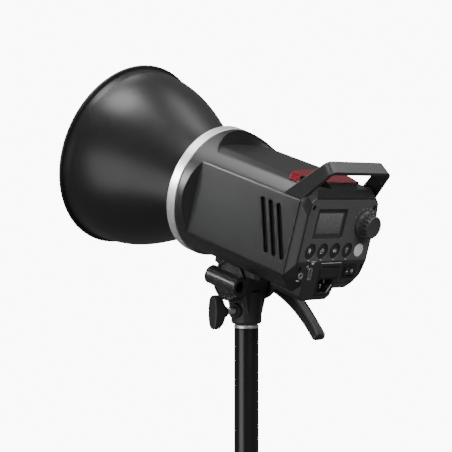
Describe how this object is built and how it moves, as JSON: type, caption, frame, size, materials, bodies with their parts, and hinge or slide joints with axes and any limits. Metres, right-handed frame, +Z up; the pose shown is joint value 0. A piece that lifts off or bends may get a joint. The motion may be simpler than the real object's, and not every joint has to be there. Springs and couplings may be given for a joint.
{
  "type": "monolight studio strobe",
  "caption": "Mains-powered studio flash head with a bell reflector, rear control panel, carry handle and a tilting stand bracket with umbrella holder.",
  "frame": {"origin": "centre of the mouth of the light-stand socket, at its bottom face", "axes": "+Z up; the light leaves towards -Y, raised 17 degrees; the control panel faces +Y; +X is the side of the umbrella tube and the socket's lock knob"},
  "size_m": [0.18, 0.3146, 0.2577],
  "materials": {
    "black_plastic": "fine moulded grain, satin-matte",
    "panel_plastic": "matte, fine grain",
    "gloss_plastic": "smooth, glossy",
    "white_plastic": "smooth, translucent",
    "red_window": "clear dark red, polished",
    "dark_glass": "smoked window, polished",
    "clear_glass": "clear",
    "ceramic": "unglazed white ceramic, matte",
    "satin_aluminium": "satin, turned",
    "powder_coat": "black powder coat",
    "cast_metal": "die cast, black paint",
    "steel": "plated",
    "brass": "plated contact metal",
    "circuit_board": "fibreglass board",
    "capacitor_sleeve": "printed sleeve, plain",
    "fibre_washer": "black pressed fibre"
  },
  "bodies": {
    "stand": {"stand_bracket": "cast_metal", "friction_washer_left": "fibre_washer", "friction_washer_right": "fibre_washer"},
    "head": {"main_shell": "black_plastic", "rear_housing": "black_plastic", "control_panel": "panel_plastic", "panel_screw_1": "steel", "panel_screw_2": "steel", "panel_screw_3": "steel", "panel_screw_4": "steel", "sensor_window": "red_window", "carry_handle": "black_plastic", "mount_ring": "satin_aluminium", "bayonet_plate": "cast_metal", "tube_base": "ceramic", "flash_tube": "clear_glass", "modelling_lamp": "white_plastic", "led_heatsink": "satin_aluminium", "display_window": "dark_glass", "display_module": "dark_glass", "control_board": "circuit_board", "encoder": "steel", "mains_inlet": "gloss_plastic", "inlet_pin_line": "brass", "inlet_pin_neutral": "brass", "inlet_pin_earth": "brass", "switch_frame": "gloss_plastic", "sync_jack": "steel", "usb_port": "steel", "optical_sensor": "dark_glass", "capacitor_left": "capacitor_sleeve", "capacitor_right": "capacitor_sleeve", "capacitor_clamp": "black_plastic", "chassis_plate": "satin_aluminium", "power_board": "circuit_board", "trigger_coil": "brass", "fan_frame": "black_plastic", "yoke": "cast_metal", "umbrella_tube": "cast_metal", "tilt_bolt": "steel", "lever_washer": "steel"},
    "reflector_unit": {"reflector": "powder_coat", "reflector_flange": "satin_aluminium"},
    "latch": {"release_latch": "gloss_plastic"},
    "dial": {"select_dial": "gloss_plastic", "dial_shaft": "steel"},
    "power_key": {"power_button": "gloss_plastic"},
    "mode_key": {"mode_button": "gloss_plastic"},
    "beep_key": {"beep_button": "gloss_plastic"},
    "lamp_key": {"lamp_button": "gloss_plastic"},
    "test_key": {"test_button": "white_plastic"},
    "mains_rocker": {"rocker": "gloss_plastic"},
    "fuse_tray": {"fuse_drawer": "gloss_plastic", "fuse": "clear_glass"},
    "fan": {"fan_rotor": "black_plastic"},
    "lever": {"tilt_lever": "black_plastic"},
    "lock": {"lock_knob": "black_plastic", "lock_screw": "steel"}
  },
  "joints": [
    {"name": "head_tilt", "type": "hinge", "parent": "stand", "child": "head", "pos_m": [0, 0, 0.0405], "axis": [1, 0, 0], "range_deg": [-25, 58]},
    {"name": "reflector_twist", "type": "hinge", "parent": "head", "child": "reflector_unit", "pos_m": [0, 0.01968, 0.10486], "axis": [0, -0.9563, 0.2924], "range_deg": [0, 28]},
    {"name": "latch_slide", "type": "slide", "parent": "head", "child": "latch", "axis": [0, 0.9563, -0.2924], "range_m": [0, 0.003], "stiffness_N_per_m": 400},
    {"name": "dial_turn", "type": "hinge", "parent": "head", "child": "dial", "pos_m": [-0.0308, 0.11104, 0.09177], "axis": [0, 0.9563, -0.2924], "continuous": true},
    {"name": "power_press", "type": "slide", "parent": "head", "child": "power_key", "axis": [0, -0.9563, 0.2924], "range_m": [0, 0.001], "stiffness_N_per_m": 800},
    {"name": "mode_press", "type": "slide", "parent": "head", "child": "mode_key", "axis": [0, -0.9563, 0.2924], "range_m": [0, 0.001], "stiffness_N_per_m": 800},
    {"name": "beep_press", "type": "slide", "parent": "head", "child": "beep_key", "axis": [0, -0.9563, 0.2924], "range_m": [0, 0.001], "stiffness_N_per_m": 800},
    {"name": "lamp_press", "type": "slide", "parent": "head", "child": "lamp_key", "axis": [0, -0.9563, 0.2924], "range_m": [0, 0.001], "stiffness_N_per_m": 800},
    {"name": "test_press", "type": "slide", "parent": "head", "child": "test_key", "axis": [0, -0.9563, 0.2924], "range_m": [0, 0.001], "stiffness_N_per_m": 800},
    {"name": "mains_rock", "type": "hinge", "parent": "head", "child": "mains_rocker", "pos_m": [-0.026, 0.09584, 0.05094], "axis": [0, 0.2924, 0.9563], "range_deg": [-10, 0]},
    {"name": "fuse_slide", "type": "slide", "parent": "head", "child": "fuse_tray", "axis": [0, 0.9563, -0.2924], "range_m": [0, 0.016]},
    {"name": "fan_spin", "type": "hinge", "parent": "head", "child": "fan", "pos_m": [0.041, 0.07257, 0.08973], "axis": [1, 0, 0], "continuous": true},
    {"name": "lever_turn", "type": "hinge", "parent": "head", "child": "lever", "pos_m": [0, 0, 0.0405], "axis": [1, 0, 0], "range_deg": [-70, 20]},
    {"name": "lock_turn", "type": "hinge", "parent": "stand", "child": "lock", "pos_m": [0, 0, 0.0125], "axis": [1, 0, 0], "continuous": true}
  ]
}
